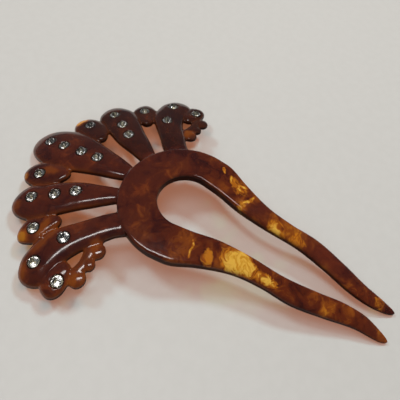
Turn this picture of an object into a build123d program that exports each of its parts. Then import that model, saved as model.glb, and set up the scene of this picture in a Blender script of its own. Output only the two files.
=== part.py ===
"""Ornamental two-prong hair comb, in millimetres.

The body is one piece of sawn, pressed and carved celluloid: a horseshoe bow that runs out into two wavy
prongs, and a fan crest of five plumes, four leaflets and two outer curls. It is arched, convex side up.
Each glass stone sits in a cup of bright foil, and each cup in a countersunk seat drilled in the crest.

The outlines are drawn in plan, with +Y towards the crest and the centre of the bow at the origin. They are
cut out of a curved sheet: a sphere for the crest, and the same sideways arch bent to a longer radius for
the prongs. The finished comb is then stood on its three points: the two prong tips and the crest's tip.
"""
import os
from math import atan2, degrees, sqrt

from build123d import *

# The curved sheet. Both undersides meet smoothly across the middle of the bow.
CREST_RADIUS = 150.0        # sphere under the crest, and the sideways arch of the prongs
PRONG_RADIUS = 390.0        # lengthwise arch of the prongs' underside
PRONG_TOP_RADIUS = 305.0    # lengthwise arch of their top, tighter, so that the prongs thin to their tips
BOW_THICKNESS = 3.4
PLUME_THICKNESS = 2.9
LEAFLET_THICKNESS = 2.4
CURL_THICKNESS = 2.6

# The plan
BOW_RADIUS = 20.2
OPENING_RADIUS = 8.9        # the rounded top of the opening between the prongs
OPENING_DROP = 0.6          # how far its centre is below the bow's
CREST_TIP = 58.6            # from the bow's centre to the crest's tip
PRONG_TIP = 68.8            # from the bow's centre to the prong tips

# The stones
STONE_RADIUS = 1.6
TABLE_RADIUS = 0.95
CROWN_HEIGHT = 0.7
GIRDLE_HEIGHT = 0.12
PAVILION_DEPTH = 1.3
CULET_RADIUS = 0.12
FACETS = 12
FOIL_THICKNESS = 0.12

# The uncut sheet, larger all round than the comb
HALF_WIDTH = 50.0
SWEEP = 25.0                # degrees, each way from the middle of the bow
DEPTH = 40.0

# Directions
UP = (0, 0, 1)
LEFT, RIGHT = -1, 1
TOWARDS_PRONGS, TOWARDS_CREST = -1, 1
SIDE_NAMES = {LEFT: "left", RIGHT: "right"}

# Right-hand half outlines, as points that a smooth curve passes through
PRONG_OUTER = [(19.5, -5.5), (16.3, -12.6), (12.7, -22.5), (11.6, -31.0), (11.5, -40.0), (9.3, -50.0),
               (6.7, -59.0), (5.8, -65.5)]
PRONG_INNER = [(3.2, -67.0), (1.8, -61.5), (1.9, -54.5), (3.7, -45.5), (5.2, -36.0), (5.3, -24.0),
               (6.2, -14.5), (8.1, -6.5)]
CENTRE_PLUME = [(2.0, 15.0), (2.7, 19.8), (3.9, 24.2), (5.2, 29.8), (6.4, 34.4), (7.6, 39.1), (8.4, 44.5),
                (8.1, 49.5), (6.6, 54.2), (4.0, 57.3)]
SIDE_PLUME = [(5.4, 15.5), (6.0, 18.9), (7.9, 25.0), (9.7, 31.0), (12.4, 36.6), (15.3, 41.0), (17.0, 44.6),
              (19.3, 46.3), (22.5, 46.8), (25.1, 46.1), (26.8, 44.4), (27.6, 41.8), (27.2, 37.6),
              (25.0, 34.0), (22.0, 30.6), (18.3, 26.3), (15.0, 22.1), (10.8, 17.1), (8.0, 14.0)]
OUTER_PLUME = [(11.6, 13.0), (13.7, 15.6), (15.6, 17.7), (18.3, 20.1), (21.4, 23.1), (25.5, 27.1),
               (29.5, 29.8), (35.9, 30.7), (39.2, 29.9), (41.6, 28.2), (42.6, 25.8), (42.3, 22.9),
               (40.6, 20.6), (36.5, 19.9), (32.7, 19.2), (28.3, 17.1), (24.0, 13.9), (20.4, 11.2),
               (17.9, 8.2), (15.5, 6.5)]
INNER_LEAFLET = [(8.6, 36.4), (11.6, 37.0), (15.0, 40.5), (16.8, 45.0), (16.6, 48.4), (15.3, 50.4),
                 (13.3, 51.5), (10.5, 50.9), (8.1, 48.4), (7.0, 43.0), (7.2, 38.5)]
OUTER_LEAFLET = [(22.6, 28.2), (24.6, 27.4), (27.5, 28.5), (31.5, 30.0), (33.1, 32.4), (33.7, 35.2),
                 (32.3, 37.0), (29.8, 37.7), (27.2, 37.2), (24.5, 33.5), (22.4, 30.2)]
TENDRIL_STEM = [(22.6, 14.6), (26.5, 14.8), (30.5, 14.0), (34.8, 14.6)]
STEM_WIDTH = 3.2
TENDRIL_LOBES = [((25.9, 12.9), 2.3), ((30.1, 12.6), 1.7), ((34.7, 13.0), 2.4)]
CURL = [(32.2, 18.2), (33.4, 15.9), (35.9, 14.8), (38.4, 14.3), (40.8, 14.8), (42.4, 16.4), (42.5, 18.6),
        (41.0, 21.2), (37.5, 21.8), (33.8, 20.8)]
EYELET = [(27.0, 16.8), (32.0, 18.9), (32.6, 15.7)]
EYELET_CORNER_RADIUS = 0.5

# Where the stones are, in plan, and the thickness of the sheet under each
CENTRE_STONES = {"1": 32.4, "2": 38.9, "3": 46.3, "4": 52.5}
SIDE_STONES = {
    "inner_leaflet": (12.7, 45.6, LEAFLET_THICKNESS),
    "side_plume_1": (13.7, 29.9, PLUME_THICKNESS),
    "side_plume_2": (17.3, 35.1, PLUME_THICKNESS),
    "side_plume_3": (21.0, 41.2, PLUME_THICKNESS),
    "outer_leaflet": (28.8, 33.5, LEAFLET_THICKNESS),
    "outer_plume_1": (27.4, 23.2, PLUME_THICKNESS),
    "outer_plume_2": (36.7, 26.2, PLUME_THICKNESS),
    "curl": (37.9, 17.1, CURL_THICKNESS),
}


def mirrored(points, side):
    """A right-hand outline on the given side of the comb."""
    return [(side * x, y) for x, y in points]


def arched_block(thickness, radius, depth, direction):
    """What lies under a surface of the sheet: the sideways arch, this far above the sheet's underside, swept
    from the middle of the bow along a lengthwise radius, towards the crest or the prongs."""
    arch_radius = CREST_RADIUS + thickness
    edge_height = sqrt(arch_radius ** 2 - HALF_WIDTH ** 2) - CREST_RADIUS
    with BuildPart() as block:
        with BuildSketch(Plane.XZ):
            with BuildLine():
                ThreePointArc((-HALF_WIDTH, edge_height), (0, thickness), (HALF_WIDTH, edge_height))
                Polyline((HALF_WIDTH, edge_height), (HALF_WIDTH, -depth), (-HALF_WIDTH, -depth),
                         (-HALF_WIDTH, edge_height))
            make_face()
        revolve(axis=Axis((0, 0, thickness - radius), (-direction, 0, 0)), revolution_arc=SWEEP)
    return block.part


def crest_sheet(thickness):
    """The crest's sheet, before it is cut to an outline: a layer of a sphere."""
    under_top = arched_block(thickness, CREST_RADIUS + thickness, DEPTH, TOWARDS_CREST)
    under_sheet = arched_block(0, CREST_RADIUS, 2 * DEPTH, TOWARDS_CREST)
    with BuildPart() as sheet:
        add(under_top)
        add(under_sheet, mode=Mode.SUBTRACT)
    return sheet.part


def prong_sheet():
    """The prongs' sheet, before it is cut to an outline, thinning towards their tips."""
    under_top = arched_block(BOW_THICKNESS, PRONG_TOP_RADIUS, DEPTH, TOWARDS_PRONGS)
    under_sheet = arched_block(0, PRONG_RADIUS, 2 * DEPTH, TOWARDS_PRONGS)
    with BuildPart() as sheet:
        add(under_top)
        add(under_sheet, mode=Mode.SUBTRACT)
    return sheet.part


def crest_layer(outline, thickness):
    """A leaf of the crest: a closed smooth outline cut out of the sphere's sheet."""
    sheet = crest_sheet(thickness)
    with BuildPart() as leaf:
        with BuildSketch(Plane.XY.offset(-DEPTH)):
            with BuildLine():
                Spline(outline, periodic=True)
            make_face()
        extrude(amount=2 * DEPTH, dir=UP)
        add(sheet, mode=Mode.INTERSECT)
    return leaf.part


def tendril(side):
    """The outer curl with its scalloped stem, which springs from the outer plume's underside."""
    sheet = crest_sheet(CURL_THICKNESS)
    with BuildPart() as curl:
        with BuildSketch(Plane.XY.offset(-DEPTH)):
            with BuildLine():
                Spline(mirrored(CURL, side), periodic=True)
            make_face()
            with BuildLine():
                Spline(mirrored(TENDRIL_STEM, side))
            trace(line_width=STEM_WIDTH)
            for (x, y), radius in TENDRIL_LOBES:
                with Locations((side * x, y)):
                    Circle(radius)
        extrude(amount=2 * DEPTH, dir=UP)
        add(sheet, mode=Mode.INTERSECT)
    return curl.part


def eyelet(side):
    """The small three-cornered opening pierced between the outer plume and its curl."""
    with BuildPart() as opening:
        with BuildSketch(Plane.XY.offset(-DEPTH)) as corners:
            Polygon(*mirrored(EYELET, side), align=None)
            fillet(corners.vertices(), radius=EYELET_CORNER_RADIUS)
        extrude(amount=2 * DEPTH, dir=UP)
    return opening.part


def bow_plan():
    """The plan of the bow and both prongs, as one closed outline."""
    with BuildSketch() as plan:
        with BuildLine():
            CenterArc((0, 0), BOW_RADIUS, 0, 180)
            CenterArc((0, -OPENING_DROP), OPENING_RADIUS, 0, 180)
            for side in (LEFT, RIGHT):
                tip = (side * 4.6, -PRONG_TIP)
                Spline([(side * BOW_RADIUS, 0)] + mirrored(PRONG_OUTER, side) + [tip],
                       tangents=[(0, -1), (-0.3 * side, -1)])
                Spline([tip] + mirrored(PRONG_INNER, side) + [(side * OPENING_RADIUS, -OPENING_DROP)])
        make_face()
    return plan.sketch


def bow_and_prongs():
    """The horseshoe bow, whose top half is part of the crest's sheet, and the two prongs it runs out into."""
    crest, prongs, plan = crest_sheet(BOW_THICKNESS), prong_sheet(), bow_plan()
    with BuildPart() as fork:
        add(crest)
        add(prongs)
        with BuildSketch(Plane.XY.offset(-DEPTH)):
            add(plan)
        extrude(amount=2 * DEPTH, dir=UP, mode=Mode.INTERSECT)
    return fork.part


def seat_plane(x, y, thickness):
    """The plane that touches the crest's top surface over a point of the plan, its normal outward."""
    radius = CREST_RADIUS + thickness
    height = sqrt(radius ** 2 - x ** 2 - y ** 2)
    return Plane(origin=(x, y, height - CREST_RADIUS), z_dir=(x, y, height))


def foil_cone(plane):
    """The cone that a foil cup fills, and so the shape of the seat drilled for it."""
    with BuildPart() as cone:
        with BuildSketch(plane):
            Circle(STONE_RADIUS + FOIL_THICKNESS)
        with BuildSketch(plane.offset(-PAVILION_DEPTH - FOIL_THICKNESS)):
            Circle(CULET_RADIUS + FOIL_THICKNESS)
        loft()
    return cone.part


def glass_stone(plane):
    """A cut stone with its girdle on the given plane: a table, a faceted crown and a deep pavilion."""
    with BuildPart() as stone:
        with BuildSketch(plane):
            RegularPolygon(STONE_RADIUS, FACETS)
        with BuildSketch(plane.offset(-PAVILION_DEPTH)):
            RegularPolygon(CULET_RADIUS, FACETS)
        loft()
        with BuildSketch(plane):
            RegularPolygon(STONE_RADIUS, FACETS)
        extrude(amount=GIRDLE_HEIGHT)
        with BuildSketch(plane.offset(GIRDLE_HEIGHT)):
            RegularPolygon(STONE_RADIUS, FACETS)
        with BuildSketch(plane.offset(CROWN_HEIGHT)):
            RegularPolygon(TABLE_RADIUS, FACETS)
        loft()
    return stone.part


def foil_cup(plane):
    """The foil behind a stone: the seat's cone, hollowed by the stone's pavilion."""
    cone, stone = foil_cone(plane), glass_stone(plane)
    with BuildPart() as foil:
        add(cone)
        add(stone, mode=Mode.SUBTRACT)
    return foil.part


seats = {f"centre_{name}": seat_plane(0, y, PLUME_THICKNESS) for name, y in CENTRE_STONES.items()}
for side, side_name in SIDE_NAMES.items():
    for name, (x, y, thickness) in SIDE_STONES.items():
        seats[f"{side_name}_{name}"] = seat_plane(side * x, y, thickness)

centre_outline = CENTRE_PLUME + [(0, CREST_TIP)] + mirrored(CENTRE_PLUME[::-1], LEFT)
carved = [bow_and_prongs(), crest_layer(centre_outline, PLUME_THICKNESS)]
drilled = [foil_cone(seat) for seat in seats.values()]
for side in (LEFT, RIGHT):
    carved.append(crest_layer(mirrored(SIDE_PLUME, side), PLUME_THICKNESS))
    carved.append(crest_layer(mirrored(OUTER_PLUME, side), PLUME_THICKNESS))
    carved.append(crest_layer(mirrored(INNER_LEAFLET, side), LEAFLET_THICKNESS))
    carved.append(crest_layer(mirrored(OUTER_LEAFLET, side), LEAFLET_THICKNESS))
    carved.append(tendril(side))
    drilled.append(eyelet(side))

with BuildPart() as body:
    add(carved)
    add(drilled, mode=Mode.SUBTRACT)

# Stand the comb on its prong tips and the tip of its crest, over the centre of its footprint.
crest_drop = CREST_RADIUS - sqrt(CREST_RADIUS ** 2 - CREST_TIP ** 2)
prong_drop = PRONG_RADIUS - sqrt(PRONG_RADIUS ** 2 - PRONG_TIP ** 2)
tilt = Location((0, 0, 0), (degrees(atan2(crest_drop - prong_drop, CREST_TIP + PRONG_TIP)), 0, 0))
box = body.part.moved(tilt).bounding_box()
stand = Location((-box.center().X, -box.center().Y, -box.min.Z)) * tilt

os.makedirs("parts", exist_ok=True)
pieces = {"body": body.part}
for name, seat in seats.items():
    pieces[f"stone_{name}"] = glass_stone(seat)
    pieces[f"foil_{name}"] = foil_cup(seat)
for name, piece in pieces.items():
    piece.label = name
    export_step(piece.moved(stand), f"parts/{name}.step")

print("footprint", box.size.X, box.size.Y, box.size.Z, "moved by", stand.position, stand.orientation)
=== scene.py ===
"""Looks for the two-prong hair comb: a carved celluloid body, cut stones, studio and camera.

Plan sizes are in millimetres, with +Y towards the crest and the centre of the bow at the origin, as the comb
is designed. The body is modelled flat over that plan, then bent to the comb's arch and stood on the floor.
"""
import math

import bmesh
import bpy
import numpy as np
from mathutils import Matrix, Vector


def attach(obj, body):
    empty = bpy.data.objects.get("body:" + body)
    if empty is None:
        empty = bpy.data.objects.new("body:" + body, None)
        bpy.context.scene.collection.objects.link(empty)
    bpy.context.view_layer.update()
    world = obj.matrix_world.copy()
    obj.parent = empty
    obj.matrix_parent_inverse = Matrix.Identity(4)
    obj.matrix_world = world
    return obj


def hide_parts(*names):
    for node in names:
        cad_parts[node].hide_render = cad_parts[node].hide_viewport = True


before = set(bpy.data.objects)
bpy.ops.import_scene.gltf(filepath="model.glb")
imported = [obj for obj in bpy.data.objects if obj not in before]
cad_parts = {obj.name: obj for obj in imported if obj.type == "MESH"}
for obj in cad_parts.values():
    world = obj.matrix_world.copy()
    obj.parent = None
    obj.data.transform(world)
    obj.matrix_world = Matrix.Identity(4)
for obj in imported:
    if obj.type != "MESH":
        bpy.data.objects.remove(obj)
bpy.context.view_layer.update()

MM = 0.001

# The curved sheet, as the comb is designed
CREST_RADIUS = 150.0
PRONG_RADIUS = 390.0
PRONG_TOP_RADIUS = 305.0
BOW_THICKNESS = 3.4
PLUME_THICKNESS = 2.9
LEAFLET_THICKNESS = 2.4
CURL_THICKNESS = 2.6
BOW_RADIUS = 20.2
OPENING_RADIUS = 8.9
OPENING_DROP = 0.6
CREST_TIP = 58.6
PRONG_TIP = 68.8
STAND_SHIFT = (0.0, 4.72, 9.313)    # from the bow's centre to the middle of the footprint, after tilting

# Right-hand half outlines
PRONG_OUTER = [(20.2, 0.0), (19.4, -6.0), (16.3, -12.6), (12.7, -22.5), (11.6, -31.0), (11.5, -40.0),
               (9.3, -50.0), (6.9, -59.0), (6.2, -65.0), (5.6, -68.8)]
PRONG_INNER = [(8.9, -0.6), (8.1, -6.5), (6.2, -14.5), (5.3, -24.0), (5.2, -36.0), (3.7, -45.5),
               (1.9, -54.5), (1.8, -61.5), (2.8, -66.0), (3.6, -68.8)]
CENTRE_PLUME = [(2.0, 15.0), (2.7, 19.8), (3.9, 24.2), (5.2, 29.8), (6.4, 34.4), (7.6, 39.1), (8.4, 44.5),
                (8.1, 49.5), (6.6, 54.2), (4.0, 57.3)]
SIDE_PLUME = [(5.4, 15.5), (6.0, 18.9), (7.9, 25.0), (9.7, 31.0), (12.4, 36.6), (15.3, 41.0), (17.0, 44.6),
              (19.3, 46.3), (22.5, 46.8), (25.1, 46.1), (26.8, 44.4), (27.6, 41.8), (27.2, 37.6),
              (25.0, 34.0), (22.0, 30.6), (18.3, 26.3), (15.0, 22.1), (10.8, 17.1), (8.0, 14.0)]
OUTER_PLUME = [(11.6, 13.0), (13.7, 15.6), (15.6, 17.7), (18.3, 20.1), (21.4, 23.1), (25.5, 27.1),
               (29.5, 29.8), (35.9, 30.7), (39.2, 29.9), (41.6, 28.2), (42.6, 25.8), (42.3, 22.9),
               (40.6, 20.6), (36.5, 19.9), (32.7, 19.2), (28.3, 17.1), (24.0, 13.9), (20.4, 11.2),
               (17.9, 8.2), (15.5, 6.5)]
INNER_LEAFLET = [(8.6, 36.4), (11.6, 37.0), (15.0, 40.5), (16.8, 45.0), (16.6, 48.4), (15.3, 50.4),
                 (13.3, 51.5), (10.5, 50.9), (8.1, 48.4), (7.0, 43.0), (7.2, 38.5)]
OUTER_LEAFLET = [(22.6, 28.2), (24.6, 27.4), (27.5, 28.5), (31.5, 30.0), (33.1, 32.4), (33.7, 35.2),
                 (32.3, 37.0), (29.8, 37.7), (27.2, 37.2), (24.5, 33.5), (22.4, 30.2)]
TENDRIL_STEM = [(22.6, 14.6), (26.5, 14.8), (30.5, 14.0), (34.8, 14.6)]
TENDRIL_LOBES = [((25.9, 12.9), 2.4), ((30.1, 12.6), 1.8), ((34.7, 13.1), 2.5)]
CURL = [(32.2, 18.2), (33.4, 15.9), (35.9, 14.8), (38.4, 14.3), (40.8, 14.8), (42.4, 16.4), (42.5, 18.6),
        (41.0, 21.2), (37.5, 21.8), (33.8, 20.8)]

# The ridge that each leaf is carved up to
CENTRE_RIDGE = [(0.0, 13.0), (0.0, 50.5)]
SIDE_RIDGE = [(7.0, 14.5), (14.2, 30.0), (21.8, 41.0)]
OUTER_RIDGE = [(14.5, 9.5), (20.0, 16.0), (27.6, 22.4), (36.6, 25.2)]
INNER_LEAFLET_RIDGE = [(9.6, 38.6), (12.8, 47.0)]
OUTER_LEAFLET_RIDGE = [(24.0, 29.2), (29.4, 33.9)]
CURL_RIDGE = [(35.4, 17.9), (40.0, 17.9)]

LEFT, RIGHT = -1, 1
SIDE_NAMES = {LEFT: "left", RIGHT: "right"}

# How each leaf is carved: outline, ridge, height of its edge, height of its ridge and how far its root sinks
ROOT_DIP = 0.16
CENTRE_CARVING = (1.5, 3.15, ROOT_DIP)
LEAVES = [
    (SIDE_PLUME, SIDE_RIDGE, 1.5, 3.15, ROOT_DIP),
    (OUTER_PLUME, OUTER_RIDGE, 1.5, 3.2, ROOT_DIP),
    (INNER_LEAFLET, INNER_LEAFLET_RIDGE, 1.5, 2.6, 0.0),
    (OUTER_LEAFLET, OUTER_LEAFLET_RIDGE, 1.5, 2.6, 0.0),
    (CURL, CURL_RIDGE, 1.4, 2.75, 0.0),
]
ROOT_SPAN = (27.0, 19.0)            # distance from the bow's centre over which a root sinks
FOOT_INSET, FOOT_HEIGHT = 0.35, 0.4
FULLNESS, LOBE_FULLNESS = 2.5, 2.1  # how steeply a leaf or a boss rises from its edge
STEM_RADIUS, STEM_EDGE, STEM_TOP = 1.6, 1.5, 2.05
LOBE_EDGE, LOBE_TOP = 1.45, 2.15

# The rounding of the band's upper corners, growing from the bow down the prongs
BOW_ROUNDING, PRONG_ROUNDING = 0.85, 1.7
ROUNDING_SPAN = (-6.0, -24.0)
TIP_CLOSES_FROM, TIP_CLOSING = -66.0, 2.8
CROWN = 0.06                        # how far the band's middle stands over its corners

# The stones
STONE_RADIUS = 1.6
TABLE_RADIUS = 0.92
CROWN_HEIGHT = 0.78
STAR_RADIUS, STAR_HEIGHT = 1.31, 0.52
GIRDLE_HEIGHT = 0.12
PAVILION_DEPTH = 1.26
CULET_RADIUS = 0.1
TURN_STEP = 0.37                    # each stone is set a little turned from the last, in radians

# Their seats, their places in plan, and the height of each girdle over the sheet's underside
SEAT_RADIUS = 1.9
SEAT_CLEARANCE, SEAT_SLOPE, SEAT_DEPTH = 0.05, 1.15, 1.75
SEAT_TOP_ONLY = 0.9                 # only the surface above this height is pressed in
CENTRE_STONES = {"1": 32.4, "2": 38.9, "3": 46.3, "4": 52.5}
SIDE_STONES = {
    "inner_leaflet": (12.7, 45.6, LEAFLET_THICKNESS),
    "side_plume_1": (13.7, 29.9, PLUME_THICKNESS),
    "side_plume_2": (17.3, 35.1, PLUME_THICKNESS),
    "side_plume_3": (21.0, 41.2, PLUME_THICKNESS),
    "outer_leaflet": (28.8, 33.5, LEAFLET_THICKNESS),
    "outer_plume_1": (27.4, 23.2, PLUME_THICKNESS),
    "outer_plume_2": (36.7, 26.2, PLUME_THICKNESS),
    "curl": (37.9, 17.1, CURL_THICKNESS),
}
DULL_FOILS = ("centre_4", "left_outer_plume_1", "right_inner_leaflet")

# Where marks on the surface fade in, from none to full
CREST_SPAN = (20.5, 23.0)           # distance from the bow's centre
RIM_LOW_SPAN = (1.0, 1.5)           # height over the underside
RIM_HIGH_SPAN = (2.45, 1.55)
WALL_SPAN = (0.5, 0.15)             # how far the surface faces up or down
SEAT_LINE_SPAN = (2.15, 1.85)          # distance from a stone's centre

VOXEL = 0.28
SMOOTHING_STEPS = 7


def stone_places():
    """Every stone's name, place in plan and girdle height."""
    places = {f"centre_{name}": (0.0, y, PLUME_THICKNESS) for name, y in CENTRE_STONES.items()}
    for side, side_name in SIDE_NAMES.items():
        for name, (x, y, height) in SIDE_STONES.items():
            places[f"{side_name}_{name}"] = (side * x, y, height)
    return places


# ---------------------------------------------------------------- the bend and the stand

CREST_DROP = CREST_RADIUS - math.sqrt(CREST_RADIUS ** 2 - CREST_TIP ** 2)
PRONG_DROP = PRONG_RADIUS - math.sqrt(PRONG_RADIUS ** 2 - PRONG_TIP ** 2)
TILT = math.atan2(CREST_DROP - PRONG_DROP, CREST_TIP + PRONG_TIP)
STAND = Matrix.Translation(Vector(STAND_SHIFT)) @ Matrix.Rotation(TILT, 4, "X")


def bend(flat):
    """Lift points (x, y, height over the underside) of the flat model on to the comb's arch."""
    x, y, w = flat[:, 0], flat[:, 1], flat[:, 2]
    crest = np.sqrt((CREST_RADIUS + w) ** 2 - x ** 2 - np.maximum(y, 0.0) ** 2) - CREST_RADIUS
    at_bow = np.sqrt((CREST_RADIUS + w) ** 2 - x ** 2) - CREST_RADIUS
    radius = PRONG_RADIUS + (PRONG_TOP_RADIUS - PRONG_RADIUS) * w / BOW_THICKNESS
    prong = w - radius + np.sqrt((at_bow - w + radius) ** 2 - np.minimum(y, 0.0) ** 2)
    return np.column_stack([x, y, np.where(y > 0, crest, prong)])


def stand(points):
    """Tilt and shift points of the design to where the comb stands, in metres."""
    matrix = np.array(STAND)
    return (points @ matrix[:3, :3].T + matrix[:3, 3]) * MM


# ---------------------------------------------------------------- outlines

def fade(values, start, end):
    """0 up to the start, 1 from the end on, and even between."""
    return np.clip((values - start) / (end - start), 0, 1)


def smooth_loop(points, steps=8):
    """A closed smooth curve through the points."""
    p = np.array(points, float)
    t = np.linspace(0, 1, steps, endpoint=False)[:, None]
    spans = []
    for i in range(len(p)):
        a, b, c, d = p[i - 1], p[i], p[(i + 1) % len(p)], p[(i + 2) % len(p)]
        spans.append(0.5 * (2 * b + (c - a) * t + (2 * a - 5 * b + 4 * c - d) * t ** 2
                            + (3 * b - a - 3 * c + d) * t ** 3))
    return np.concatenate(spans)


def smooth_height(xs, ys, at):
    """A smooth curve through (xs, ys) with rising xs, read at the given places."""
    slopes = np.gradient(ys, xs)
    i = np.clip(np.searchsorted(xs, at) - 1, 0, len(xs) - 2)
    span = xs[i + 1] - xs[i]
    t = (at - xs[i]) / span
    return (ys[i] * (1 + 2 * t) * (1 - t) ** 2 + slopes[i] * span * t * (1 - t) ** 2
            + ys[i + 1] * t ** 2 * (3 - 2 * t) - slopes[i + 1] * span * t ** 2 * (1 - t))


def mirrored(points, side):
    """A right-hand outline on the given side of the comb."""
    return [(side * x, y) for x, y in points]


def nearest_on_ridge(points, ridge):
    """For each outline point, the nearest point of the ridge line."""
    ridge = np.array(ridge, float)
    best, found = np.full(len(points), np.inf), np.zeros_like(points)
    for a, b in zip(ridge[:-1], ridge[1:]):
        t = np.clip(((points - a) @ (b - a)) / ((b - a) @ (b - a)), 0, 1)
        near = a + t[:, None] * (b - a)
        distance = np.linalg.norm(points - near, axis=1)
        closer = distance < best
        best[closer], found[closer] = distance[closer], near[closer]
    return found


# ---------------------------------------------------------------- the carved body, flat

class FlatModel:
    """Overlapping closed shells over the plan, later fused into one surface."""

    def __init__(self):
        self.points = []
        self.faces = []

    def add_rings(self, rings):
        """Skin a list of closed rings with the same number of points, and close both ends."""
        start = len(self.points)
        count = len(rings[0])
        for ring in rings:
            self.points.extend(ring)
        for r in range(len(rings) - 1):
            for i in range(count):
                j = (i + 1) % count
                low, high = start + r * count, start + (r + 1) * count
                self.faces.append((low + i, low + j, high + j, high + i))
        self.faces.append(tuple(range(start + count - 1, start - 1, -1)))
        last = start + (len(rings) - 1) * count
        self.faces.append(tuple(range(last, last + count)))

    def add_leaf(self, outline, ridge, edge, top, root_dip=0.0, fullness=FULLNESS):
        """A carved leaf: straight sides up to the edge height, then rounded up to its ridge."""
        foot = nearest_on_ridge(outline, ridge)
        reach = np.linalg.norm(foot - outline, axis=1)
        from_bow = np.linalg.norm(outline, axis=1)
        dip = 1 - root_dip * fade(from_bow, *ROOT_SPAN)
        rings = []
        for share in (0.9, 0.0):
            inset = np.maximum(share, np.minimum(FOOT_INSET / reach, 0.5))[:, None]
            rings.append(np.column_stack([outline + (foot - outline) * inset, np.zeros(len(outline))]))
        rings.append(np.column_stack([outline, np.full(len(outline), FOOT_HEIGHT)]))
        for share in (0.0, 0.04, 0.1, 0.18, 0.28, 0.42, 0.6, 0.8, 0.97):
            rise = (1 - (1 - share) ** fullness) ** 0.62
            height = (edge + (top - edge) * rise) * dip
            rings.append(np.column_stack([outline + (foot - outline) * share, height]))
        self.add_rings(rings)

    def add_lobe(self, centre, radius, edge, top):
        """A round carved boss."""
        turn = np.linspace(0, 2 * math.pi, 28, endpoint=False)
        outline = np.column_stack([np.cos(turn), np.sin(turn)]) * radius + np.array(centre)
        ridge = [(centre[0] - 0.01, centre[1]), (centre[0] + 0.01, centre[1])]
        self.add_leaf(outline, ridge, edge, top, fullness=LOBE_FULLNESS)

    def add_stem(self, path, radius, edge, top):
        """A slim carved stalk along a line."""
        path = np.array(path, float)
        ahead = np.gradient(path, axis=0)
        ahead /= np.linalg.norm(ahead, axis=1)[:, None]
        across = np.column_stack([-ahead[:, 1], ahead[:, 0]]) * radius
        outline = smooth_loop(np.concatenate([path + across, (path - across)[::-1]]), 6)
        self.add_leaf(outline, path, edge, top)

    def add_strip(self, outer, inner, top, edge_radius):
        """A flat-topped band between two edges, with rounded upper corners and a slight crown."""
        rings = []
        for o, i, height, radius in zip(outer, inner, top, edge_radius):
            across = i - o
            width = np.linalg.norm(across)
            across /= width
            under = radius * 0.55
            profile = [(under, 0.0), (under * 0.25, under * 0.3), (0.0, under)]
            for turn in np.linspace(0, math.pi / 2, 6):
                profile.append((radius * (1 - math.cos(turn)), height - radius * (1 - math.sin(turn))))
            half = [(min(inset, width * 0.48), w) for inset, w in profile]
            section = half + [(width / 2, height + CROWN)]
            section += [(width - inset, w) for inset, w in half[::-1]]
            rings.append([(*(o + across * inset), w) for inset, w in section])
        self.add_rings([np.array(ring) for ring in rings])


def bow_and_prongs(model):
    """One band from the left prong's tip over the bow to the right prong's tip."""
    along = np.concatenate([np.linspace(-68.75, -66, 8), np.linspace(-65, -0.6, 84)])
    x_out, y_out = np.array(PRONG_OUTER[::-1]).T
    x_in, y_in = np.array(PRONG_INNER[::-1]).T
    outer = np.column_stack([smooth_height(y_out, x_out, along), along])
    inner = np.column_stack([smooth_height(y_in, x_in, along), along])
    middle, half = (outer + inner) / 2, (outer - inner) / 2
    closing = np.sqrt(np.clip(1 - ((TIP_CLOSES_FROM - along) / TIP_CLOSING) ** 2, 0.002, 1))
    closing[along > TIP_CLOSES_FROM] = 1
    outer, inner = middle + half * closing[:, None], middle - half * closing[:, None]
    turn = np.linspace(0, math.pi, 72)
    arc = np.column_stack([np.cos(turn), np.sin(turn)])
    flip = np.array([-1, 1])
    outer = np.concatenate([outer, arc * BOW_RADIUS, (outer * flip)[::-1]])
    inner = np.concatenate([inner, arc * OPENING_RADIUS - (0, OPENING_DROP), (inner * flip)[::-1]])
    width = np.linalg.norm(outer - inner, axis=1)
    tip = np.clip((outer[:, 1] + PRONG_TIP) / 8, 0.35, 1)
    top = BOW_THICKNESS * tip ** 0.5
    rounding = BOW_ROUNDING + (PRONG_ROUNDING - BOW_ROUNDING) * fade(outer[:, 1], *ROUNDING_SPAN)
    model.add_strip(outer, inner, top, np.minimum(np.minimum(rounding, width * 0.36), top * 0.5))


def flat_body():
    """Every carved feature of the comb, over its plan."""
    model = FlatModel()
    bow_and_prongs(model)
    centre = CENTRE_PLUME + [(0, CREST_TIP)] + mirrored(CENTRE_PLUME[::-1], LEFT)
    model.add_leaf(smooth_loop(centre), CENTRE_RIDGE, *CENTRE_CARVING)
    for side in (LEFT, RIGHT):
        for outline, ridge, *carving in LEAVES:
            model.add_leaf(smooth_loop(mirrored(outline, side)), mirrored(ridge, side), *carving)
        model.add_stem(mirrored(TENDRIL_STEM, side), STEM_RADIUS, STEM_EDGE, STEM_TOP)
        for (x, y), radius in TENDRIL_LOBES:
            model.add_lobe((side * x, y), radius, LOBE_EDGE, LOBE_TOP)
    return model


def mesh_from(name, points, faces):
    mesh = bpy.data.meshes.new(name)
    mesh.from_pydata([tuple(p) for p in points], [], faces)
    mesh.update()
    return mesh


def fuse(model):
    """Fuse the overlapping shells into one closed surface and soften it."""
    mesh = mesh_from("flat_body", model.points, model.faces)
    piece = bpy.data.objects.new("flat_body", mesh)
    bpy.context.scene.collection.objects.link(piece)
    remesh = piece.modifiers.new("fuse", "REMESH")
    remesh.mode = "VOXEL"
    remesh.voxel_size = VOXEL
    soften = piece.modifiers.new("soften", "SMOOTH")
    soften.factor = 0.5
    soften.iterations = SMOOTHING_STEPS
    graph = bpy.context.evaluated_depsgraph_get()
    fused = bpy.data.meshes.new_from_object(piece.evaluated_get(graph))
    bpy.data.objects.remove(piece)
    return fused


def off_bow(flat):
    """Which places belong to the carved crest, beyond the bow."""
    return fade(np.hypot(flat[:, 0], flat[:, 1]), *CREST_SPAN) * (flat[:, 1] > 5)


def thin_rims(flat):
    """How far each place on the crest's top is thinned towards an edge, where a glow of light through the
    thin sheet is painted.
    """
    w = flat[:, 2]
    return off_bow(flat) * fade(w, *RIM_LOW_SPAN) * fade(w, *RIM_HIGH_SPAN)


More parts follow.
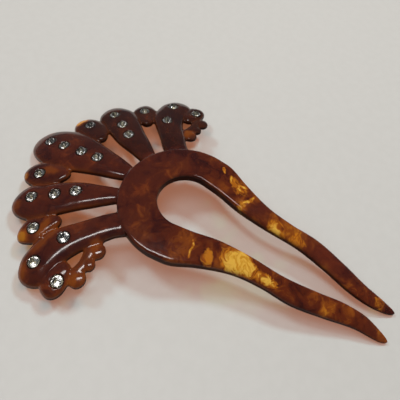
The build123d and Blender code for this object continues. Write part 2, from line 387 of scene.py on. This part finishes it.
def side_walls(mesh):
    """Which places are on the upright side walls, where shade is painted."""
    normals = np.empty(len(mesh.vertices) * 3)
    mesh.vertices.foreach_get("normal", normals)
    return fade(np.abs(normals.reshape(-1, 3)[:, 2]), *WALL_SPAN)


def seat_dark_line(flat):
    """A dark line round the edge of each stone's seat."""
    glass_grime_and_seat_line = np.zeros(len(flat))
    for x, y, _ in stone_places().values():
        distance = np.hypot(flat[:, 0] - x, flat[:, 1] - y)
        glass_grime_and_seat_line = np.maximum(glass_grime_and_seat_line, fade(distance, *SEAT_LINE_SPAN) * (flat[:, 2] > 0.5))
    return glass_grime_and_seat_line


def drill_seats(flat):
    """Press a countersunk seat under each stone."""
    for x, y, girdle in stone_places().values():
        distance = np.hypot(flat[:, 0] - x, flat[:, 1] - y)
        near = (distance < SEAT_RADIUS) & (flat[:, 2] > SEAT_TOP_ONLY)
        floor = girdle - SEAT_CLEARANCE - (SEAT_RADIUS - distance) * SEAT_SLOPE
        flat[near, 2] = np.minimum(flat[near, 2], np.maximum(floor[near], girdle - SEAT_DEPTH))
    return flat


def carved_body():
    mesh = fuse(flat_body())
    flat = np.empty(len(mesh.vertices) * 3)
    mesh.vertices.foreach_get("co", flat)
    flat = flat.reshape(-1, 3)
    masks = {"crest": off_bow(flat), "rim": thin_rims(flat), "glass_grime_and_seat_line": seat_dark_line(flat),
             "wall": side_walls(mesh)}
    for name, values in masks.items():
        mesh.attributes.new(name, "FLOAT", "POINT").data.foreach_set("value", values)
    flat = drill_seats(flat)
    flat[:, 2] = np.maximum(flat[:, 2], 0.0)
    mesh.vertices.foreach_set("co", stand(bend(flat)).ravel())
    mesh.update()
    mesh.shade_smooth()
    body = bpy.data.objects.new("carved_body", mesh)
    bpy.context.scene.collection.objects.link(body)
    return body


# ---------------------------------------------------------------- the stones

def seat_matrix(x, y, girdle):
    """From a stone's own frame, in millimetres, to the room, in metres."""
    height = math.sqrt((CREST_RADIUS + girdle) ** 2 - x ** 2 - y ** 2)
    normal = Vector((x, y, height)).normalized()
    turn = normal.to_track_quat("Z", "Y").to_matrix().to_4x4()
    place = Matrix.Translation((x, y, height - CREST_RADIUS))
    return Matrix.Scale(MM, 4) @ STAND @ place @ turn


def ring(radius, height, count, offset=0.0):
    """Points of a regular polygon at a height."""
    step = 2 * math.pi / count
    return [(radius * math.cos(step * (i + offset)), radius * math.sin(step * (i + offset)), height)
            for i in range(count)]


def cut_stone(name, place, turn):
    """A round stone with a table, star, kite and girdle facets over a faceted pavilion."""
    corners = ring(TABLE_RADIUS, CROWN_HEIGHT, 8)
    corners += ring(STAR_RADIUS, STAR_HEIGHT, 8, 0.5)
    corners += ring(STONE_RADIUS, GIRDLE_HEIGHT, 16)
    corners += ring(STONE_RADIUS, 0.0, 16)
    corners += ring(CULET_RADIUS, -PAVILION_DEPTH, 8, 0.5)
    mesh = bpy.data.meshes.new(name)
    cut = bmesh.new()
    for corner in corners:
        cut.verts.new(corner)
    bmesh.ops.convex_hull(cut, input=cut.verts)
    bmesh.ops.dissolve_limit(cut, angle_limit=0.02, verts=cut.verts, edges=cut.edges)
    cut.to_mesh(mesh)
    cut.free()
    mesh.transform(seat_matrix(*place) @ Matrix.Rotation(turn, 4, "Z"))
    stone = bpy.data.objects.new(name, mesh)
    bpy.context.scene.collection.objects.link(stone)
    return stone


# ---------------------------------------------------------------- materials

class Shader:
    """A material's node tree, with short calls to add and join nodes."""

    def __init__(self, name):
        self.material = bpy.data.materials.new(name)
        self.material.use_nodes = True
        self.tree = self.material.node_tree
        self.tree.nodes.clear()
        self.output = self.tree.nodes.new("ShaderNodeOutputMaterial")

    def node(self, kind, inputs=None, **settings):
        made = self.tree.nodes.new(kind)
        for key, value in settings.items():
            setattr(made, key, value)
        for key, value in (inputs or {}).items():
            if isinstance(value, bpy.types.NodeSocket):
                self.tree.links.new(value, made.inputs[key])
            else:
                made.inputs[key].default_value = value
        return made

    def math(self, operation, a, b=0.0, clamp=False):
        return self.node("ShaderNodeMath", {0: a, 1: b}, operation=operation, use_clamp=clamp).outputs[0]

    def vector_math(self, operation, a, b):
        return self.node("ShaderNodeVectorMath", {0: a, 1: b}, operation=operation).outputs[0]

    def noise(self, place, scale, detail, **more):
        """A noise value over the surface."""
        inputs = {"Vector": place, "Scale": scale, "Detail": detail, **more}
        return self.node("ShaderNodeTexNoise", inputs).outputs["Fac"]

    def remap(self, value, start, end, low=0.0, high=1.0, curve="LINEAR"):
        """The value's place between start and end, as low to high."""
        limits = {"Value": value, "From Min": start, "From Max": end, "To Min": low, "To Max": high}
        return self.node("ShaderNodeMapRange", limits, interpolation_type=curve).outputs[0]

    def bump(self, height, strength, distance):
        inputs = {"Height": height, "Strength": strength, "Distance": distance}
        return self.node("ShaderNodeBump", inputs).outputs[0]

    def ramp(self, value, stops):
        """Colours eased into each other along the value."""
        made = self.node("ShaderNodeValToRGB", {"Fac": value})
        made.color_ramp.interpolation = "EASE"
        elements = made.color_ramp.elements
        while len(elements) < len(stops):
            elements.new(1.0)
        for element, (position, colour) in zip(elements, stops):
            element.position = position
            element.color = (*colour, 1.0)
        return made.outputs["Color"]

    def mix(self, factor, a, b):
        """Colour a, turning into b as the factor rises."""
        made = self.node("ShaderNodeMix", data_type="RGBA", blend_type="MIX")
        for socket, value in ((made.inputs[0], factor), (made.inputs[6], a), (made.inputs[7], b)):
            if isinstance(value, bpy.types.NodeSocket):
                self.tree.links.new(value, socket)
            elif isinstance(value, tuple):
                socket.default_value = (*value, 1.0)
            else:
                socket.default_value = value
        return made.outputs[2]

    def finish(self, surface):
        self.tree.links.new(surface, self.output.inputs["Surface"])
        return self.material


# Dark line round the edge of each stone's seat
SEAT_LINE_DARK = (0.010, 0.005, 0.004)
# Painted shade for the upright side walls
PAINTED_WALL_SHADE = (0.016, 0.005, 0.003)
BROWN_LIGHT, AMBER_LIGHT = (0.98, 0.54, 0.32), (1.0, 0.86, 0.50)
LIGHT_PASSED = 0.75                 # share of a lamp's light that gets through the sheet

# Patches in the celluloid: place in plan, size along and across the comb, turn, and strength
GOLD_PATCHES = [
    ((-9.0, -22.6), (6.6, 3.8), 0.05, 1.2),
    ((-9.6, -31.5), (4.6, 2.0), 0.0, 0.9),
    ((-12.4, -9.6), (0.6, 3.2), 0.3, 0.75),
    ((-13.0, -14.5), (1.6, 2.0), 0.3, 0.6),
    ((16.0, -4.8), (0.7, 1.9), 0.6, 0.8),
    ((13.2, -8.4), (0.8, 2.2), 0.3, 0.9),
    ((12.4, -11.0), (3.4, 4.4), 0.3, 0.60),
    ((11.7, -10.8), (2.1, 0.8), 0.2, 0.8),
    ((14.6, -12.2), (1.5, 0.9), 0.4, 0.8),
    ((10.4, -16.2), (0.9, 4.6), -0.32, 0.85),
    ((7.2, -15.8), (1.6, 1.8), 0.0, 0.85),
    ((6.9, -26.8), (3.4, 2.0), 0.05, 0.80),
    ((7.6, -34.0), (4.6, 1.6), 0.1, 0.6),
    ((4.0, -64.0), (2.0, 5.0), 0.0, 0.45),
]
HONEY_PATCHES = [
    ((-32.4, 36.0), (3.8, 4.0), 0.4, 0.78),
    ((-27.5, 31.5), (3.2, 3.2), 0.0, 0.52),
    ((12.0, 50.6), (3.0, 3.8), 0.0, 1.0),
    ((-14.4, 50.4), (2.2, 2.8), 0.2, 0.75),
    ((-11.0, 42.5), (3.4, 2.4), 0.2, 0.45),
    ((4.8, 56.6), (1.6, 4.0), -0.5, 0.60),
    ((-39.6, 29.4), (3.4, 6.0), 0.4, 0.50),
    ((-29.5, 27.6), (2.2, 8.0), -0.45, 0.42),
    ((-25.8, 43.6), (3.0, 3.6), 0.6, 0.40),
    ((-25.5, 12.8), (2.4, 2.6), 0.0, 0.45),
    ((-35.0, 12.6), (2.2, 2.6), 0.0, 0.50),
    ((26.0, 12.8), (2.4, 3.0), 0.0, 0.55),
]
DARK_PATCHES = [
    ((9.6, -20.8), (3.4, 4.2), 0.0, 1.0),
    ((8.0, -46.0), (12.5, 5.6), 0.1, 1.0),
    ((-9.6, -43.0), (5.0, 3.6), 0.0, 0.45),
    ((-5.6, -65.0), (5.5, 3.5), 0.0, 0.45),
    ((-8.5, -13.5), (4.0, 2.0), 0.0, 0.6),
]


def patch_mask(shader, plan, place, size, turn, strength):
    """A soft elliptical spot on the comb's plan, strongest at its middle."""
    x, y = (np.array(place) + STAND_SHIFT[:2]) * MM
    moved = shader.node("ShaderNodeMapping", {"Vector": plan, "Location": (x, y, 0),
                        "Rotation": (0, 0, turn), "Scale": (size[1] * MM, size[0] * MM, 1.0)},
                        vector_type="TEXTURE")
    flat = shader.vector_math("MULTIPLY", moved.outputs[0], (1, 1, 0))
    length = shader.node("ShaderNodeVectorMath", {0: flat}, operation="LENGTH").outputs["Value"]
    return shader.remap(length, 0.35, 1.25, strength, 0.0, curve="SMOOTHSTEP")


def patches(shader, plan, spots):
    """The strongest of several spots."""
    masks = [patch_mask(shader, plan, *spot) for spot in spots]
    joined = masks[0]
    for mask in masks[1:]:
        joined = shader.math("MAXIMUM", joined, mask)
    return joined


def swirled(shader, place):
    """Places shifted by slow noise, so that the colours flow into each other."""
    drift = shader.node("ShaderNodeTexNoise", {"Vector": place, "Scale": 110.0, "Detail": 3.0})
    centred = shader.vector_math("SUBTRACT", drift.outputs["Color"], (0.5, 0.5, 0.5))
    swirl = shader.vector_math("MULTIPLY", centred, (0.009, 0.009, 0.004))
    return shader.vector_math("ADD", place, swirl)


def ground_colour(shader, place, warped, mottle, masks):
    """Dark red-brown over the crest and bow, warmer brown down the prongs."""
    across, along, _ = shader.node("ShaderNodeSeparateXYZ", {"Vector": place}).outputs
    dark = shader.ramp(mottle, [(0.34, (0.028, 0.005, 0.004)), (0.54, (0.053, 0.010, 0.005)),
                                (0.72, (0.108, 0.021, 0.006))])
    # Painted glow: the crest's thin rims are coloured lighter orange for light shining through them
    glow = shader.math("MULTIPLY", masks["rim"], shader.math("MULTIPLY", mottle, 1.1))
    crest = shader.mix(glow, dark, (0.160, 0.038, 0.004))
    right_side = shader.remap(across, -0.004, 0.014, 0.0, 0.6, curve="SMOOTHSTEP")
    crest = shader.mix(shader.math("MULTIPLY", right_side, masks["crest"]), crest, (0.012, 0.005, 0.004))

    warm = shader.ramp(mottle, [(0.32, (0.030, 0.004, 0.002)), (0.48, (0.086, 0.014, 0.003)),
                                (0.60, (0.165, 0.038, 0.004)), (0.74, (0.340, 0.115, 0.008))])
    deep_red = shader.ramp(mottle, [(0.34, (0.030, 0.004, 0.003)), (0.70, (0.085, 0.014, 0.005))])
    prongs = shader.mix(patches(shader, warped, DARK_PATCHES), warm, deep_red)
    fork = shader.remap(along, 0.020, -0.014, curve="SMOOTHSTEP")
    return shader.mix(fork, crest, prongs)


def celluloid():
    """Mottled brown and amber celluloid, polished, that passes some amber light."""
    shader = Shader("tortoiseshell_celluloid")
    place = shader.node("ShaderNodeTexCoord").outputs["Object"]
    masks = {name: shader.node("ShaderNodeAttribute", attribute_name=name).outputs["Fac"]
             for name in ("crest", "rim", "glass_grime_and_seat_line", "wall")}
    warped = swirled(shader, place)
    clouds = shader.noise(warped, 95.0, 4.0, Roughness=0.55)
    grain = shader.math("SUBTRACT", shader.noise(warped, 380.0, 4.0, Distortion=1.2), 0.5)
    threads = shader.noise(warped, 430.0, 2.5, Distortion=2.2)
    mottle = shader.math("ADD", clouds, shader.math("MULTIPLY", grain, 0.40))
    colour = ground_colour(shader, place, warped, mottle, masks)

    honey = patches(shader, warped, HONEY_PATCHES)
    colour = shader.mix(honey, colour, shader.ramp(honey, [(0.10, (0.160, 0.030, 0.003)),
                                                          (0.60, (0.240, 0.058, 0.004)),
                                                          (0.95, (0.480, 0.200, 0.012))]))

    spots = patches(shader, warped, GOLD_PATCHES)
    thread = shader.math("MULTIPLY", shader.math("SUBTRACT", threads, 0.5), 0.5)
    near_spots = shader.math("MULTIPLY", spots, 2.5, clamp=True)
    ragged = shader.math("ADD", spots, shader.math("MULTIPLY", shader.math("ADD", grain, thread), near_spots))
    amber = shader.remap(ragged, 0.22, 0.64, curve="SMOOTHSTEP")
    gold = shader.remap(ragged, 0.66, 0.98, curve="SMOOTHSTEP")
    colour = shader.mix(amber, colour, shader.ramp(threads, [(0.36, (0.200, 0.046, 0.003)),
                                                            (0.62, (0.360, 0.120, 0.006))]))
    colour = shader.mix(gold, colour, shader.ramp(threads, [(0.34, (0.420, 0.190, 0.012)),
                                                           (0.60, (0.560, 0.320, 0.044))]))
    # A dark line painted round the edge of each stone's seat
    colour = shader.mix(shader.math("MULTIPLY", masks["glass_grime_and_seat_line"], 0.85), colour, SEAT_LINE_DARK)
    # Painted shade: the upright side walls are darkened
    colour = shader.mix(shader.math("MULTIPLY", masks["wall"], 0.88), colour, PAINTED_WALL_SHADE)

    wear = shader.noise(place, 700.0, 5.0)
    plastic = shader.node("ShaderNodeBsdfPrincipled", {
        "Base Color": colour, "Roughness": shader.remap(wear, 0.3, 0.8, 0.08, 0.20), "IOR": 1.5,
        "Normal": shader.bump(shader.noise(place, 260.0, 2.0), 0.10, 0.0006),
        # Less gloss on the upright side walls, along with their painted shade
        "Specular IOR Level": shader.math("SUBTRACT", 0.42, shader.math("MULTIPLY", masks["wall"], 0.39)),
        "Subsurface Weight": 0.12, "Subsurface Radius": (0.004, 0.0012, 0.0004), "Subsurface Scale": 0.8,
    }).outputs[0]
    tint = shader.mix(shader.math("MAXIMUM", amber, honey), BROWN_LIGHT, AMBER_LIGHT)
    clear = shader.node("ShaderNodeBsdfTransparent", {"Color": tint}).outputs[0]
    to_lamps = shader.node("ShaderNodeMixShader", {0: LIGHT_PASSED, 1: plastic, 2: clear}).outputs[0]
    shadow = shader.node("ShaderNodeLightPath").outputs["Is Shadow Ray"]
    return shader.finish(shader.node("ShaderNodeMixShader", {0: shadow, 1: plastic, 2: to_lamps}).outputs[0])


def stone_glass():
    """Clear cut glass with a trace of grime."""
    shader = Shader("cut_glass")
    place = shader.node("ShaderNodeTexCoord").outputs["Object"]
    glass_grime_and_seat_line = shader.noise(place, 1500.0, 4.0)
    glass = shader.node("ShaderNodeBsdfPrincipled", {
        "Base Color": (0.96, 0.96, 0.94, 1.0), "Roughness": shader.remap(glass_grime_and_seat_line, 0.45, 0.75, 0.01, 0.12),
        "IOR": 1.6, "Transmission Weight": 1.0, "Normal": shader.bump(glass_grime_and_seat_line, 0.05, 0.0001)})
    return shader.finish(glass.outputs[0])


def foil_metal(name, light, dark):
    """Silvered backing with blotches of tarnish."""
    shader = Shader(name)
    place = shader.node("ShaderNodeTexCoord").outputs["Object"]
    blotch = shader.noise(place, 1600.0, 3.0)
    foil = shader.node("ShaderNodeBsdfPrincipled", {
        "Base Color": shader.ramp(blotch, [(0.38, dark), (0.60, light)]), "Metallic": 1.0,
        "Roughness": shader.remap(blotch, 0.0, 1.0, 0.55, 0.28), "Normal": shader.bump(blotch, 0.2, 0.0001)})
    return shader.finish(foil.outputs[0])


def table_top():
    """A plain pale, slightly uneven table."""
    shader = Shader("pale_table")
    place = shader.node("ShaderNodeTexCoord").outputs["Object"]
    grain = shader.noise(place, 300.0, 4.0)
    colour = shader.ramp(grain, [(0.3, (0.470, 0.467, 0.450)), (0.7, (0.482, 0.479, 0.462))])
    surface = shader.node("ShaderNodeBsdfPrincipled", {"Base Color": colour, "Roughness": 0.55})
    return shader.finish(surface.outputs[0])


def set_material(piece, material):
    piece.data.materials.clear()
    piece.data.materials.append(material)


# ---------------------------------------------------------------- the comb

body = carved_body()
set_material(body, celluloid())
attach(body, "root")
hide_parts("body")

glass = stone_glass()
bright_foil = foil_metal("bright_foil", (0.42, 0.385, 0.28), (0.045, 0.038, 0.026))
dull_foil = foil_metal("dull_foil", (0.16, 0.15, 0.13), (0.04, 0.035, 0.03))
for number, (name, place) in enumerate(stone_places().items()):
    stone = cut_stone(f"cut_stone_{name}", place, TURN_STEP * number)
    set_material(stone, glass)
    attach(stone, "root")
    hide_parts(f"stone_{name}")
    set_material(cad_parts[f"foil_{name}"], dull_foil if name in DULL_FOILS else bright_foil)


# ---------------------------------------------------------------- studio and camera

def add_light(name, place, size, power, colour, in_gloss=False):
    """A soft lamp aimed at the comb: it either lights it or is mirrored in its gloss."""
    lamp = bpy.data.lights.new(name, "AREA")
    lamp.shape = "RECTANGLE"
    lamp.size, lamp.size_y = size
    lamp.energy = power
    lamp.color = colour
    piece = bpy.data.objects.new(name, lamp)
    piece.location = place
    piece.visible_glossy = in_gloss
    piece.visible_diffuse = not in_gloss
    piece.rotation_euler = (-Vector(place)).to_track_quat("-Z", "Y").to_euler()
    bpy.context.scene.collection.objects.link(piece)


floor_mesh = mesh_from("table", [(-1, -1, 0), (1, -1, 0), (1, 1, 0), (-1, 1, 0)], [(0, 1, 2, 3)])
table = bpy.data.objects.new("table", floor_mesh)
bpy.context.scene.collection.objects.link(table)
set_material(table, table_top())

# Lamps: place, size and power, in metres and watts
WARM_WHITE, WHITE = (1.0, 0.97, 0.93), (1.0, 0.98, 0.96)
ROOM_COLOUR = (0.86, 0.87, 0.90, 1.0)
ROOM_LIGHT, ROOM_SEEN = 0.13, 0.60  # how strongly the room lights the comb, and how bright it looks itself
add_light("key", (0.36, -0.06, 0.50), (0.10, 0.10), 2.2, WARM_WHITE)
add_light("second", (0.04, 0.38, 0.46), (0.12, 0.12), 1.5, WARM_WHITE)
add_light("overhead", (0.0, 0.0, 0.80), (0.6, 0.6), 2.0, WHITE)
add_light("low_fill", (-0.40, -0.30, 0.40), (0.3, 0.3), 0.8, WHITE)
add_light("streak", (-0.08, 0.10, 0.42), (0.055, 0.22), 0.7, WHITE, in_gloss=True)

world = bpy.data.worlds.new("room")
world.use_nodes = True
backdrop = world.node_tree.nodes["Background"]
backdrop.inputs["Color"].default_value = ROOM_COLOUR
seen = world.node_tree.nodes.new("ShaderNodeLightPath")
strength = world.node_tree.nodes.new("ShaderNodeMapRange")
strength.inputs["To Min"].default_value = ROOM_LIGHT
strength.inputs["To Max"].default_value = ROOM_SEEN
world.node_tree.links.new(seen.outputs["Is Camera Ray"], strength.inputs["Value"])
world.node_tree.links.new(strength.outputs["Result"], backdrop.inputs["Strength"])
bpy.context.scene.world = world
bpy.context.scene.view_settings.view_transform = "Standard"

# The camera's axes and place, in millimetres, in the frame the comb is designed in
CAMERA_RIGHT = Vector((0.4825, -0.867, 0.1248))
CAMERA_UP = Vector((0.7045, 0.4688, 0.5328))
CAMERA_BACK = Vector((-0.5204, -0.1692, 0.837))
CAMERA_PLACE = Vector((-57.2, -23.0, 98.2))
FOCAL_LENGTH = 34.4
NEAREST_SEEN = 0.005
lens = bpy.data.cameras.new("camera")
lens.lens = FOCAL_LENGTH
lens.clip_start = NEAREST_SEEN
camera = bpy.data.objects.new("camera", lens)
axes = Matrix((CAMERA_RIGHT, CAMERA_UP, CAMERA_BACK)).transposed().to_4x4()
pose = STAND @ Matrix.Translation(CAMERA_PLACE) @ axes
camera.matrix_world = Matrix.Translation(pose.translation * MM) @ pose.to_quaternion().to_matrix().to_4x4()
bpy.context.scene.collection.objects.link(camera)
bpy.context.scene.camera = camera
